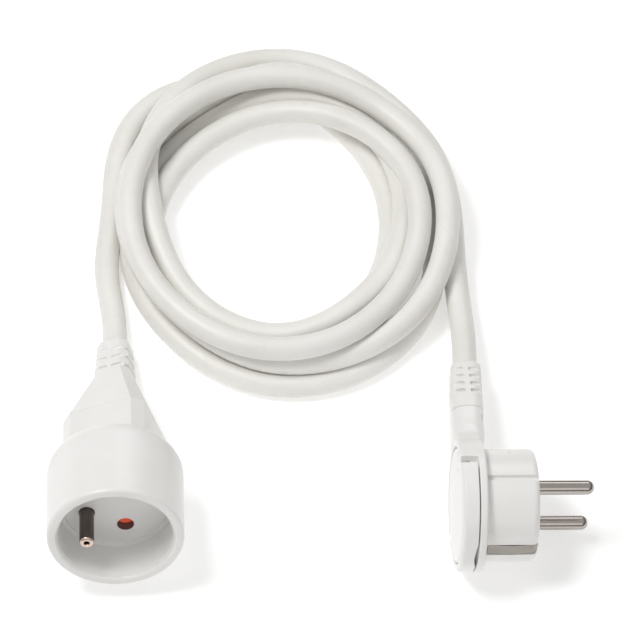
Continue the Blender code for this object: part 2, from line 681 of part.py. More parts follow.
def pull_handle(frame, material, pin_material):
    """The half-ring handle round the head's rim; its origin is on the pivots' axis."""
    axis = (HANDLE_FRONT + HANDLE_BACK) / 2
    outer = FLANGE_RADIUS - 0.1 * MM
    half = (HANDLE_FRONT - HANDLE_BACK) / 2
    past = math.degrees(math.asin(HANDLE_PAST_PIVOT / outer))
    steps = 36
    shape = bmesh.new()
    rings = []
    thumb = math.radians(9)
    for angle in np.radians(np.linspace(90 - past, 270 + past, steps + 1)):
        c, s = math.cos(angle), math.sin(angle)
        away = abs(angle - math.pi)
        dip = 0.8 * MM * max(0.0, 1 - (away / (1.6 * thumb)) ** 2)
        corners = (
            (HANDLE_INNER, -half),
            (outer - 0.8 * MM, -half),
            (outer, -half + 0.8 * MM),
            (outer, half - dip),
            (HANDLE_INNER, half - dip),
        )
        rings.append([shape.verts.new((r * c, r * s, z)) for r, z in corners])
    for first, second in zip(rings, rings[1:]):
        for index in range(5):
            after = (index + 1) % 5
            shape.faces.new((first[index], first[after], second[after], second[index]))
    shape.faces.new(rings[0])
    shape.faces.new(rings[-1])
    place = (0, 0, axis)
    handle = add("pull_handle", finished("pull_handle", shape), frame, material, place)
    for name, side in (("handle_bore_cutter_1", 1), ("handle_bore_cutter_2", -1)):
        bore = rod(name, PIVOT_RADIUS + 0.1 * MM, 18 * MM, FLANGE_RADIUS + MM, steps=16)
        cutter = helper(name, bore, frame)
        cutter.location = place
        cutter.rotation_euler.x = math.radians(-90 * side)
        combine(handle, cutter, "DIFFERENCE")
    for name, side in (("handle_pivot_upper", 1), ("handle_pivot_lower", -1)):
        shape = rod(name, PIVOT_RADIUS, 17.4 * MM, FLANGE_RADIUS - 0.5 * MM, steps=14)
        pivot = add(name, shape, frame, pin_material, place)
        pivot.rotation_euler.x = math.radians(-90 * side)


def plug(looks):
    place = empty("plug_place", None, PLUG_PLACE, (-PLUG_ROLL, PLUG_PITCH, PLUG_YAW))
    frame = empty("plug_frame", place, degrees=(90, 0, 90))
    plug_body(frame, looks["plug_body"])
    plug_head(frame, looks["plug_head"])
    plug_back_cover(frame, looks["cover"])
    plug_strain_relief(frame, looks["relief"])
    pin_bridge(frame, looks["inner_plastic"])
    plug_pins(frame, looks["nickel"])
    earth_clips(frame, looks["plated"])
    bore = PIN_RADIUS - 0.1 * MM
    sleeve = tube("plug_earth_sleeve", bore, 3.1 * MM, 0.5 * MM, 15 * MM, 20, (-EARTH_OFFSET, 0))
    add("plug_earth_sleeve", sleeve, frame, looks["brass"])
    pull_handle(frame, looks["handle"], looks["steel"])
    sheath = rod("plug_sheath_end", CORD_RADIUS, 0, PLUG_REACH - RELIEF_START - 2 * GAP, steps=24)
    inner = add("plug_sheath_end", sheath, frame, looks["cord"], (RELIEF_START + GAP, 0, -1.8 * MM))
    inner.rotation_euler.y = math.radians(90) - math.atan(NECK_LEAN)
    starts = [(0, 0), (-3 * MM, 0), (3 * MM, 0)]
    fan_end = RELIEF_START - GAP
    core_wires("plug", starts, (90, 210, 330), 17.5 * MM, fan_end, frame, looks["cores"], duct_point)


def duct_point(u, v, along):
    """A point inside the neck's duct, whose middle lies a little behind the flange."""
    return (along, u, v * 0.8 - 2 * MM)


# Cord ----------------------------------------------------------------------------------------------


def coil_solid(material):
    """The outer shape of the coiled turns: a turned ring with round edges, a little longer than wide."""
    edge = COIL_EDGE
    corners = (
        (COIL_INNER + edge, edge, 180, 270),
        (COIL_OUTER - edge, edge, 270, 360),
        (COIL_OUTER - edge, COIL_HEIGHT - edge, 0, 90),
        (COIL_INNER + edge, COIL_HEIGHT - edge, 90, 180),
    )
    profile = []
    for r, z, start, end in corners:
        profile += arc(r, z, edge, start, end, 3)
    shape = turned("cord_coil", profile, closed=True, steps=64)
    for vertex in shape.vertices:
        vertex.co.y *= COIL_STRETCH
    add("cord_coil", shape, None, material, (*COIL_CENTRE, 0))


def cord(looks):
    coil_solid(looks["cord"])
    for name, route in (("cord_socket_lead", SOCKET_LEAD), ("cord_plug_lead", PLUG_LEAD)):
        points = smooth_route(np.array(route) * MM, 2 * CORD_RADIUS)
        wire(name, points, CORD_RADIUS, None, looks["cord"], sides=3)


def main():
    for leftover in list(bpy.data.objects):
        bpy.data.objects.remove(leftover)
    white = (0.80, 0.79, 0.76)
    looks = {
        "housing": look("housing_plastic", white, 0.42),
        "relief": look("relief_plastic", (0.78, 0.77, 0.74), 0.5),
        "insert": look("insert_plastic", (0.55, 0.55, 0.54), 0.5),
        "inner_plastic": look("inner_plastic", (0.7, 0.7, 0.68), 0.55),
        "shutter": look("shutter_plastic", (0.75, 0.12, 0.05), 0.4),
        "steel": look("steel", (0.55, 0.55, 0.55), 0.3, 1.0),
        "brass": look("brass", (0.75, 0.6, 0.3), 0.35, 1.0),
        "plated": look("plated_brass", (0.6, 0.57, 0.5), 0.3, 1.0),
        "nickel": look("nickel_plate", (0.7, 0.66, 0.6), 0.2, 1.0),
        "plug_body": look("plug_plastic", white, 0.42),
        "plug_head": look("head_plastic", white, 0.42),
        "cover": look("cover_plastic", (0.82, 0.81, 0.79), 0.42),
        "handle": look("handle_plastic", white, 0.4),
        "cord": look("cord_sheath", (0.78, 0.77, 0.72), 0.5),
        "cores": [
            ("brown", look("core_brown", (0.2, 0.09, 0.04), 0.5)),
            ("blue", look("core_blue", (0.05, 0.15, 0.5), 0.5)),
            ("earth", look("core_earth", (0.35, 0.5, 0.08), 0.5)),
        ],
    }
    coupler_socket(looks)
    plug(looks)
    cord(looks)


main()
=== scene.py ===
import json
import math

import bmesh
import bpy
import numpy as np
from mathutils import Euler, Matrix, Vector


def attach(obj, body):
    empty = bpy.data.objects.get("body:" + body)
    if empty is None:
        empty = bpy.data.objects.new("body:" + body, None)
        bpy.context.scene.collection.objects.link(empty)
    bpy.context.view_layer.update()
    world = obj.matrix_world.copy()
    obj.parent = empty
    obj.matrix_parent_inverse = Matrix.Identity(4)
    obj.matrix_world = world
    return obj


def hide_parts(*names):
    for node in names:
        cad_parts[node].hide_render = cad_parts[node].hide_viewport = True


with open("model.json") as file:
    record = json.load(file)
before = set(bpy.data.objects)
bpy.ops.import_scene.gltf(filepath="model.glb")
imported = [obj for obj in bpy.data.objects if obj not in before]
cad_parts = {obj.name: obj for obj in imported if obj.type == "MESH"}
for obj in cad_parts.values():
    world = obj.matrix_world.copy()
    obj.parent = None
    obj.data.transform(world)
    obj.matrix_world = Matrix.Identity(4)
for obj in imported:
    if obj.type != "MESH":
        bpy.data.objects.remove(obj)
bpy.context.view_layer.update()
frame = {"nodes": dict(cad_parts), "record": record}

MM = 0.001

# ---------------------------------------------------------------- camera
CAMERA_TARGET = Vector((0.0, 0.05915, 0.0))
CAMERA_ELEVATION = math.radians(60)
CAMERA_DISTANCE = 1.8083
CAMERA_LENS = 300


def make_camera():
    data = bpy.data.cameras.new("camera")
    data.lens = CAMERA_LENS
    data.sensor_width = 36
    data.clip_start = 0.1
    data.clip_end = 20
    camera = bpy.data.objects.new("camera", data)
    back = Vector((0, -math.cos(CAMERA_ELEVATION), math.sin(CAMERA_ELEVATION)))
    camera.location = CAMERA_TARGET + back * CAMERA_DISTANCE
    camera.rotation_euler = (math.pi / 2 - CAMERA_ELEVATION, 0, 0)
    bpy.context.collection.objects.link(camera)
    bpy.context.scene.camera = camera


# ---------------------------------------------------------------- cord
CORD_DIAMETER = 8.2 * MM
COIL_CENTRE = np.array([-12.5, 96.15]) * MM
SOCKET_LEAD = [(-69.0, 44.25, 5.9), (-69.2, 50.2, 4.5), (-69.6, 55.7, 4.15), (-69.9, 60.3, 4.15)]
PLUG_LEAD = [(48.4, 32.95, 12.45), (48.5, 39.2, 11.5), (48.1, 47.2, 9.9),
             (47.6, 55.2, 8.4), (46.9, 61.2, 7.5), (46.4, 65.2, 7.2)]
# Where each turn lies, eight times round from the left side, clockwise: radius and height in mm,
# and how freely it shifts sideways as the turns settle: little on top of the heap, and fully under it.
# The stretches that the picture shows are placed after it, and the hidden ones are guessed.
TOP = 0.05
UNDER = 1.0
TURNS = [
    [(58.6, 4.2, TOP), (65.3, 4.2, TOP), (52.0, 4.2, UNDER), (39.3, 4.2, TOP),
     (36.5, 4.2, TOP), (41.2, 4.2, TOP), (51.0, 4.2, UNDER), (49.5, 4.2, UNDER)],
    [(44.9, 4.2, TOP), (41.1, 5.0, TOP), (41.2, 8.0, TOP), (40.7, 15., TOP),
     (45.9, 17., TOP), (50.8, 12., TOP), (56.8, 15., TOP), (54.7, 17., TOP)],
    [(51.8, 19., TOP), (50.7, 18., TOP), (50.0, 17., TOP), (50.8, 15., TOP),
     (55.4, 18., TOP), (60.3, 12., TOP), (58.0, 8.0, TOP), (53.0, 11., UNDER)],
    [(53.5, 11., UNDER), (57.0, 4.2, UNDER), (57.0, 10., UNDER), (51.0, 4.2, UNDER),
     (53.0, 4.2, UNDER), (60.6, 4.2, UNDER), (64.5, 4.2, TOP), (57.0, 4.2, TOP)],
    [(50.6, 4.2, UNDER), (49.0, 4.2, UNDER), (48.0, 10., UNDER), (43.0, 8.0, UNDER),
     (41.0, 11., TOP), (43.5, 12., TOP), (45.2, 4.2, TOP), (43.4, 4.2, TOP)],
    [(45.1, 12., TOP), (56.7, 12., TOP), (63.6, 6.0, TOP), (57.0, 5.0, UNDER), (56.0, 11., UNDER)],
]
LAST_STATION = (200, 61.5, 10.0, TOP)
DEGREES_A_POINT = 5.0
POINT_SPACING = 4.0
LONG_KINK_PASSES = 12
SETTLED_PASSES = 3
SETTLE_ROUNDS = 500
# Points nearer than this along the line are neighbours, and don't push each other.
NEIGHBOURS = 14
HELD_POINTS = 8
SINK = 0.02


def polar(point):
    """Angle in degrees, clockwise from the left side, and radius in mm of a point round the coil's centre."""
    x = point[0] - COIL_CENTRE[0] / MM
    y = point[1] - COIL_CENTRE[1] / MM
    return math.degrees(math.atan2(y, -x)), math.hypot(x, y)


def through(known, values, wanted):
    """A cubic curve through the values at the known places, read at the wanted places."""
    slope = np.gradient(values, known)
    i = np.clip(np.searchsorted(known, wanted) - 1, 0, len(known) - 2)
    step = known[i + 1] - known[i]
    u = (wanted - known[i]) / step
    return (
        (2 * u**3 - 3 * u**2 + 1) * values[i]
        + (u**3 - 2 * u**2 + u) * step * slope[i]
        + (3 * u**2 - 2 * u**3) * values[i + 1]
        + (u**3 - u**2) * step * slope[i + 1]
    )


def coil_points():
    """The coil's turns, from the end of the coupler's lead to the start of the plug's, and how
    freely each point shifts."""
    first_angle, first_radius = polar(SOCKET_LEAD[-1])
    last_angle, last_radius = polar(PLUG_LEAD[-1])
    whole = 360 * (len(TURNS) - 1)
    stations = [(first_angle, first_radius, SOCKET_LEAD[-1][2], TOP)]
    for turn, lanes in enumerate(TURNS):
        stations += [(360 * turn + 45 * k, *lane) for k, lane in enumerate(lanes)]
    stations.append((whole + LAST_STATION[0], *LAST_STATION[1:]))
    stations.append((whole + last_angle % 360, last_radius, PLUG_LEAD[-1][2], TOP))
    known, radius, height, freedom = np.array(stations).T
    angle = np.linspace(known[0], known[-1], round((known[-1] - known[0]) / DEGREES_A_POINT) + 1)
    r = through(known, radius, angle)
    z = through(known, height, angle)
    a = np.radians(angle)
    x = COIL_CENTRE[0] / MM - r * np.cos(a)
    y = COIL_CENTRE[1] / MM + r * np.sin(a)
    return np.stack([x, y, z, np.interp(angle, known, freedom)], 1)


def evenly(points, step):
    """The same line with its points evenly spaced."""
    along = np.concatenate([[0], np.cumsum(np.linalg.norm(np.diff(points[:, :3], axis=0), axis=1))])
    places = np.linspace(0, along[-1], round(along[-1] / step) + 1)
    return np.stack([through(along, column, places) for column in points.T], 1)


def eased(line, passes):
    """The line with its short kinks taken out: each inward pass is followed by an equal outward one."""
    line = line.copy()
    for factor in (0.5, -0.51) * passes:
        line[1:-1, :3] += factor * (0.5 * (line[:-2, :3] + line[2:, :3]) - line[1:-1, :3])
    return line


def settled(line):
    """The turns moved out of each other and down onto what is under them: each point mostly rises or
    sinks along a line tilted back by 30 degrees, and shifts sideways only as freely as its own value says."""
    points, freedom = line[:, :3], np.clip(line[:, 3:], TOP, UNDER)
    clear = CORD_DIAMETER / MM + 0.1
    lowest = CORD_DIAMETER / MM / 2 + 0.05
    tilted = np.array([0, -0.5, math.sqrt(0.75)])
    shift = np.zeros_like(points)
    first, second = np.triu_indices(len(points), NEIGHBOURS)
    for _ in range(SETTLE_ROUNDS):
        now = points + shift
        apart = now[second] - now[first]
        distance = np.linalg.norm(apart, axis=1)
        near = distance < clear
        i, j = first[near], second[near]
        push = apart[near] / distance[near, None] * (clear - distance[near, None]) / 2
        rise = push @ tilted
        aside = push - rise[:, None] * tilted
        lift = rise + np.sign(rise) * 0.5 * np.linalg.norm(aside, axis=1)
        up = lift[:, None] * tilted
        move = np.zeros_like(points)
        touches = np.zeros(len(points))
        np.add.at(move, i, -up - aside * freedom[i])
        np.add.at(move, j, up + aside * freedom[j])
        np.add.at(touches, i, 1)
        np.add.at(touches, j, 1)
        shift += 0.5 * move / np.sqrt(np.maximum(touches, 1))[:, None]
        shift -= SINK * tilted
        for _ in range(2):
            shift[1:-1] = 0.5 * shift[1:-1] + 0.25 * (shift[:-2] + shift[2:])
        lifted = (shift @ tilted)[:, None] * tilted
        shift = lifted + (shift - lifted) * (0.95 + 0.05 * freedom)
        below = np.maximum(lowest - points[:, 2] - shift[:, 2], 0)
        shift += below[:, None] * tilted / tilted[2]
        shift[:HELD_POINTS] = 0
        shift[-HELD_POINTS:] = 0
    return points + shift


def make_cord():
    start = [(*point, TOP) for point in SOCKET_LEAD[:-1]]
    end = [(*point, TOP) for point in PLUG_LEAD[-2::-1]]
    line = evenly(np.vstack([start, coil_points(), end]), POINT_SPACING)
    route = eased(settled(eased(line, LONG_KINK_PASSES)), SETTLED_PASSES) * MM
    curve = bpy.data.curves.new("cord", "CURVE")
    curve.dimensions = "3D"
    curve.bevel_depth = 1.0
    curve.bevel_resolution = 8
    curve.use_fill_caps = True
    spline = curve.splines.new("POLY")
    spline.points.add(len(route) - 1)
    for point, place in zip(spline.points, route):
        point.co = (*place, 1)
        point.radius = CORD_DIAMETER / 2
    spline.use_smooth = True
    cord = bpy.data.objects.new("cord", curve)
    bpy.context.collection.objects.link(cord)
    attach(cord, "root")
    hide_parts("cord_socket_lead", "cord_coil", "cord_plug_lead")
    return cord, route


def declare_cord():
    """Gathers the names of the plug's inner nodes, the earth clips and the pin bridge, and does nothing more
    with them.
    """
    inner = [name for name in frame["nodes"] if name.startswith(("plug_core", "plug_sheath", "plug_earth"))]
    inner += ["earth_clip_neck_side", "earth_clip_handle_side", "pin_bridge"]


# ---------------------------------------------------------------- shapes
# Each end is shaped in its own frame, in mm, and then placed where the CAD has it.
def end_frame(place, *turns):
    matrix = Matrix.Translation(Vector(place) * MM)
    for angles in turns:
        matrix @= Euler([math.radians(angle) for angle in angles]).to_matrix().to_4x4()
    return matrix @ Matrix.Scale(MM, 4)


# Along z from the rim (0) to the cord; -x is the earth pin's side.
SOCKET_FRAME = end_frame((-66.5, -39.85, 29.26), (-105.5, 0, 1.7), (0, 0, -18.6))
# Along z from the flange's front out along the pins; +x is the neck's direction, +y the upper pin's.
PLUG_FRAME = end_frame((52.7, -23.55, 21.65), (-9.3, 4.8, 2.8), (90, 0, 90))


def arc(centre_r, centre_z, radius, start, end, steps=10):
    """Points (r, z) of an arc, angles in degrees from +r towards +z."""
    angles = np.radians(np.linspace(start, end, steps + 1))
    return [(centre_r + radius * math.cos(a), centre_z + radius * math.sin(a)) for a in angles]


def turned(profile, steps=144, centre=(0, 0), closed=False):
    """A profile of (r, z) points spun about the local z axis through centre."""
    shape = bmesh.new()
    points = [shape.verts.new((centre[0] + r, centre[1], z)) for r, z in profile]
    pairs = list(zip(points, points[1:]))
    if closed:
        pairs.append((points[-1], points[0]))
    edges = [shape.edges.new(pair) for pair in pairs]
    whole = 2 * math.pi
    axis = (0, 0, 1)
    bmesh.ops.spin(shape, geom=points + edges, cent=(*centre, 0), axis=axis, angle=whole, steps=steps)
    return shape


def rod(radius, start, end, centre=(0, 0)):
    return turned([(0, start), (radius, start), (radius, end), (0, end)], 64, centre)


def box(low, high):
    shape = bmesh.new()
    bmesh.ops.create_cube(shape, size=1)
    bmesh.ops.scale(shape, vec=Vector(high) - Vector(low), verts=shape.verts[:])
    bmesh.ops.translate(shape, vec=(Vector(high) + Vector(low)) / 2, verts=shape.verts[:])
    return shape


def hollow(centre, radii):
    """An ellipsoid, to scoop out of a surface."""
    shape = bmesh.new()
    bmesh.ops.create_icosphere(shape, subdivisions=4, radius=1)
    bmesh.ops.scale(shape, vec=radii, verts=shape.verts[:])
    bmesh.ops.translate(shape, vec=centre, verts=shape.verts[:])
    return shape


def section(width, height, corner, middle=0.0, flat=False):
    """An outline of four rounded or chamfered corners."""
    outline = []
    for quarter, (sx, sy) in enumerate([(1, 1), (-1, 1), (-1, -1), (1, -1)]):
        for step in range(12):
            angle = math.radians(90 * quarter + 90 * step / 11)
            reach = corner
            if flat:
                reach = corner / (abs(math.cos(angle)) + abs(math.sin(angle)))
            x = sx * (width / 2 - corner) + reach * math.cos(angle)
            y = middle + sy * (height / 2 - corner) + reach * math.sin(angle)
            outline.append((x, y))
    return outline


def lofted(stations, axis="z", ring=False):
    """Outlines joined along the z or the x axis; a ring's last outline joins its first."""
    shape = bmesh.new()
    loops = []
    for along, outline in stations:
        if axis == "z":
            loops.append([shape.verts.new((u, v, along)) for u, v in outline])
        else:
            loops.append([shape.verts.new((along, u, v)) for u, v in outline])
    pairs = list(zip(loops, loops[1:]))
    if ring:
        pairs.append((loops[-1], loops[0]))
    for first, second in pairs:
        for index in range(len(first)):
            after = (index + 1) % len(first)
            shape.faces.new((first[index], first[after], second[after], second[index]))
    if not ring:
        shape.faces.new(loops[0])
        shape.faces.new(loops[-1])
    return shape


def swept_ring(corners_at, start, end, steps):
    """A section of (r, z) corners carried round part of a circle, from start to end in degrees.
    corners_at gives the section at an angle in radians."""
    shape = bmesh.new()
    rings = []
    for angle in np.radians(np.linspace(start, end, steps + 1)):
        c, s = math.cos(angle), math.sin(angle)
        rings.append([shape.verts.new((r * c, r * s, z)) for r, z in corners_at(angle)])
    for first, second in zip(rings, rings[1:]):
        for index in range(len(first)):
            after = (index + 1) % len(first)
            shape.faces.new((first[index], first[after], second[after], second[index]))
    shape.faces.new(rings[0])
    shape.faces.new(rings[-1])
    return shape


def loose_object(name, shape):
    bmesh.ops.remove_doubles(shape, verts=shape.verts[:], dist=0.001)
    bmesh.ops.recalc_face_normals(shape, faces=shape.faces[:])
    mesh = bpy.data.meshes.new(name)
    shape.to_mesh(mesh)
    shape.free()
    made = bpy.data.objects.new(name, mesh)
    bpy.context.collection.objects.link(made)
    return made


def moulding(name, base, added=(), cut=(), grain=0.25, soften=3):
    """One moulded piece: volumes joined and cut, then its edges softened as a mould's are.
    Grain is the size in mm that the surface is rebuilt at; 0 keeps the exact faces."""
    piece = loose_object(name, base)
    helpers = []
    for operation, shapes in (("UNION", added), ("DIFFERENCE", cut)):
        for shape in shapes:
            other = loose_object("helper", shape)
            step = piece.modifiers.new("step", "BOOLEAN")
            step.operation = operation
            step.object = other
            helpers.append(other)
    if grain:
        rebuild = piece.modifiers.new("rebuild", "REMESH")
        rebuild.mode = "VOXEL"
        rebuild.voxel_size = grain
        smooth = piece.modifiers.new("soften", "SMOOTH")
        smooth.factor = 0.5
        smooth.iterations = soften
        thin = piece.modifiers.new("thin", "DECIMATE")
        thin.ratio = 0.3
    graph = bpy.context.evaluated_depsgraph_get()
    mesh = bpy.data.meshes.new_from_object(piece.evaluated_get(graph))
    mesh.name = name
    piece.modifiers.clear()
    raw, piece.data = piece.data, mesh
    bpy.data.meshes.remove(raw)
    for other in helpers:
        mesh = other.data
        bpy.data.objects.remove(other)
        bpy.data.meshes.remove(mesh)
    return piece


def fit(piece, matrix, node, material, body="root", sharp=180):
    """Places a piece in the shared frame, where it stands for the CAD node of that name."""
    piece.data.transform(matrix)
    piece.data.shade_smooth()
    piece.data.set_sharp_from_angle(angle=math.radians(sharp))
    piece.data.materials.clear()
    piece.data.materials.append(material)
    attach(piece, body)
    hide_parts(node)
    return piece


# ---------------------------------------------------------------- coupler
CUP_RADIUS = 22.5
CUP_LENGTH = 34.5
CUP_SHOULDER = 7.0
RECESS_RADIUS = 19.2
RECESS_DEPTH = 15.0
BAND = (29.0, 28.6, 3.8)
BAND_INSIDE = (26.0, 25.6, 2.4)
BAND_END = 48.0
RELIEF_WAIST = 72.5
SOCKET_LENGTH = 87.0
LIVE_OFFSET = 9.5
EARTH_OFFSET = 10.0
PIN_RADIUS = 2.4
RIM_ROUND = 1.2
BORE_END = 28.0
POCKET_RADIUS = 15.0
POCKET_END = 29.5
CHAMBER_START = 29.0
SHEATH_HOLE = 8.8
SLOT_DEPTH = 4.75
SLOT_WIDTH = 1.3


def socket_housing():
    outside = [(0, 0), (RECESS_RADIUS + 0.6, 0)]
    outside += arc(CUP_RADIUS - RIM_ROUND, RIM_ROUND, RIM_ROUND, -90, 0)
    outside += arc(CUP_RADIUS - CUP_SHOULDER, CUP_LENGTH - CUP_SHOULDER, CUP_SHOULDER, 0, 90, 16)
    outside.append((0, CUP_LENGTH))
    band = lofted([(RECESS_DEPTH + 5, section(*BAND, flat=True)), (BAND_END, section(*BAND, flat=True))])
    recess = [(0, -1), (RECESS_RADIUS + 1.0, -1), (RECESS_RADIUS + 0.5, 0), (RECESS_RADIUS, 0.6)]
    recess += [(RECESS_RADIUS, BORE_END), (POCKET_RADIUS, BORE_END)]
    recess += [(POCKET_RADIUS, POCKET_END), (0, POCKET_END)]
    inside = section(*BAND_INSIDE, flat=True)
    chamber = lofted([(CHAMBER_START, inside), (BAND_END + 1, inside)])
    return moulding("socket_housing_shell", turned(outside), [band], [turned(recess), chamber])


def relief_slots(start, pitch, width, count, rib, depth, axis="z", middle=0.0):
    """Slots round a strain relief, left whole at a rib on two opposite faces. u runs across those
    faces from the rib, v out of them, and middle is the relief's own middle along u."""
    reach = 9.0
    slots = []
    for step in range(count):
        near = start + step * pitch
        spans = []
        for side in (-1, 1):
            for face in (-1, 1):
                spans.append(((side * rib, side * reach), (face * depth, face * reach)))
            spans.append(((side * (depth + 0.25), side * reach), (-depth - 1, depth + 1)))
        for u, v in spans:
            low, high = sorted(u), sorted(v)
            u_low, u_high = middle + low[0], middle + low[1]
            if axis == "z":
                slots.append(box((u_low, high[0], near), (u_high, high[1], near + width)))
            else:
                slots.append(box((near, high[0], u_low), (near + width, high[1], u_high)))
    return slots


def socket_strain_relief():
    start = BAND_END + 0.05
    bore = section(SHEATH_HOLE, SHEATH_HOLE, SHEATH_HOLE / 2)
    stations = [
        (start, section(*BAND, flat=True)),
        (RELIEF_WAIST, section(12.6, 11.8, 2.4, flat=True)),
        (SOCKET_LENGTH, section(10.8, 10.6, 2.2, flat=True)),
        (SOCKET_LENGTH, bore),
        (60, bore),
        (start, section(*BAND_INSIDE)),
    ]
    slots = relief_slots(RELIEF_WAIST + 1, 4.2, SLOT_WIDTH, count=3, rib=0.8, depth=SLOT_DEPTH)
    return moulding("socket_relief_shell", lofted(stations, ring=True), cut=slots, grain=0.2, soften=2)


def recess_insert():
    """The recess floor with its raised lip, and the grey lining of the recess's wall."""
    outer = RECESS_RADIUS - 0.05
    wall = outer - 0.25
    lip = RECESS_DEPTH - 0.9
    profile = [(0, RECESS_DEPTH), (wall - 1.5, RECESS_DEPTH)]
    profile += arc(wall - 0.9, lip + 0.45, 0.45, 180, 270, 6)
    profile += [(wall, lip), (wall, 1.2), (outer, 1.0), (outer, 20), (0, 20)]
    holes = [rod(PIN_RADIUS + 0.3, 8, 24, (-EARTH_OFFSET, 0))]
    for side in (-1, 1):
        holes.append(rod(PIN_RADIUS + 0.4, 8, 24, (0, side * LIVE_OFFSET)))
    return moulding("recess_lining", turned(profile), cut=holes, grain=0)


def earth_pin():
    tip = 1.2
    profile = [(0, tip + 2.2), (0.75, tip + 2.2), (0.85, tip + 0.3), (1.1, tip)]
    profile += arc(PIN_RADIUS - 0.9, tip + 0.9, 0.9, -90, 0, 8)
    profile += [(PIN_RADIUS, 27.8), (0, 27.8)]
    return moulding("earth_pin_bar", turned(profile, 64, (-EARTH_OFFSET, 0)), grain=0)


def paint_shade_in_holes(lining, material):
    """The live holes' walls get painted shade: a dark colour standing in for the shade down the holes, which
    show as dark rings.
    """
    lining.data.materials.append(material)
    back = SOCKET_FRAME.inverted()
    for face in lining.data.polygons:
        middle = back @ face.center
        across = math.hypot(middle.x, abs(middle.y) - LIVE_OFFSET)
        if across < PIN_RADIUS + 0.41 and middle.z > RECESS_DEPTH + 0.05:
            face.material_index = 1


def make_coupler(materials):
    fit(socket_housing(), SOCKET_FRAME, "socket_housing", materials["housing"])
    fit(socket_strain_relief(), SOCKET_FRAME, "socket_strain_relief", materials["relief"])
    lining = fit(recess_insert(), SOCKET_FRAME, "recess_insert", materials["insert"], sharp=40)
    paint_shade_in_holes(lining, materials["hole"])
    pin = fit(earth_pin(), SOCKET_FRAME, "socket_earth_pin", materials["earth_pin"], sharp=40)
    pin.data.materials.append(materials["pin_tip"])
    # The pin is coloured dark along its length, and lighter at its end, the part that reaches within 1.75 mm
    # of the rim.
    rim = SOCKET_FRAME @ Vector((-EARTH_OFFSET, 0, 1.75))
    axis = SOCKET_FRAME.to_3x3() @ Vector((0, 0, 1))
    for face in pin.data.polygons:
        face.material_index = int((face.center - rim).dot(axis) < 0)


# ---------------------------------------------------------------- plug
BODY_RADIUS = 18.5
BODY_LENGTH = 17.4
FLANGE_RADIUS = 21.8
COVER_RADIUS = 18.9
RELIEF_START = 37.0
PLUG_REACH = 57.0
NECK_LEAN = math.tan(math.radians(3))
NECK_END_MIDDLE = -1.8
CLIP_HALF = 2.6
GROOVE = (-3.4, -1.7)
SKIN = 2.0
FLANGE_BACK = -2.6
COVER_FRONT = -5.4
RIM_BACK = -8.3
COVER_BACK = -8.25
RIM_FROM_HINGE = 4.2
HANDLE_RADIUS = 19.3
HANDLE_MIDDLE = -5.6
HANDLE_HALF = 2.6
HANDLE_PAST = 1.1
DIP = 0.8
DIP_HALF_ANGLE = math.radians(14.4)
PIN_REACH = 19.0


def plug_body():
    inside, front = BODY_RADIUS - SKIN, BODY_LENGTH - SKIN
    profile = [(0, front), (inside, front), (inside, 0.05), (BODY_RADIUS, 0.05)]
    profile += arc(inside, front, SKIN, 0, 90)
    profile.append((0, BODY_LENGTH))
    cut = [rod(PIN_RADIUS + 0.6, BODY_LENGTH - 4, BODY_LENGTH + 1, (-EARTH_OFFSET, 0))]
    for side in (1, -1):
        cut.append(rod(PIN_RADIUS + 0.15, BODY_LENGTH - 4, BODY_LENGTH + 1, (0, side * LIVE_OFFSET)))
        y = sorted((side * (BODY_RADIUS - 1.5), side * (BODY_RADIUS + 2)))
        cut.append(box((GROOVE[0], y[0], -1), (GROOVE[1], y[1], BODY_LENGTH + 1)))
        x = sorted((side * (BODY_RADIUS - 1.7), side * (BODY_RADIUS + 2)))
        cut.append(box((x[0], -CLIP_HALF, -1), (x[1], CLIP_HALF, BODY_LENGTH + 1)))
        x = sorted((side * (BODY_RADIUS - 6.1), side * (BODY_RADIUS + 2)))
        cut.append(box((x[0], -CLIP_HALF, BODY_LENGTH - 1.1), (x[1], CLIP_HALF, BODY_LENGTH + 1)))
    return moulding("plug_body_shell", turned(profile), cut=cut, grain=0.22)


# Distance from the disc's middle, width, thickness, and the middle of the thickness.
NECK = [
    (9, 39, 8.1, -4.2),
    (14, 31.4, 8.1, -4.2),
    (18.6, 22.6, 8.2, -4.2),
    (21, 19, 9.6, -3.1),
    (25, 16, 10.6, -2.4),
    (30, 14.2, 10.8, -2.1),
    (36.7, 13.4, 10.7, NECK_END_MIDDLE),
]


def neck():
    """The neck leaves the head as wide as the disc and narrows smoothly to the strain relief."""
    rows = np.array(NECK)
    stations = []
    for along in np.linspace(rows[0, 0], rows[-1, 0], 40):
        place = np.array([along])
        values = [float(through(rows[:, 0], column, place)[0]) for column in rows.T[1:]]
        width, thickness, middle = values
        corner = min(width, thickness) / 2 - 1.2
        stations.append((float(along), section(width, thickness, corner, middle)))
    return lofted(stations, "x")


def plug_head():
    edge = FLANGE_RADIUS - 0.8
    flange = [(0, 0), (edge, 0), *arc(edge, -0.8, 0.8, 90, 0, 6), (FLANGE_RADIUS, FLANGE_BACK)]
    flange += [(COVER_RADIUS, FLANGE_BACK), (COVER_RADIUS, COVER_FRONT), (0, COVER_FRONT)]
    half = 90 - math.degrees(math.asin(RIM_FROM_HINGE / FLANGE_RADIUS))
    inner, outer = COVER_RADIUS + 0.3, FLANGE_RADIUS - 0.05
    rim = [(inner, RIM_BACK), (outer - 0.55, RIM_BACK), (outer, RIM_BACK + 0.55)]
    rim += [(outer, FLANGE_BACK + 0.5), (inner, FLANGE_BACK + 0.5)]
    ring = swept_ring(lambda angle: rim, -half, half, 90)
    seat = rod(inner, -12, COVER_FRONT + 0.05)
    scoop = hollow((26.4, 9.6, -4.4), (4.2, 2.9, 6.4))
    dimple = hollow((33, 4.4, 4.2), (3.0, 3.4, 2.2))
    return moulding("plug_head_shell", turned(flange), [ring, neck()], [seat, scoop, dimple], 0.22)


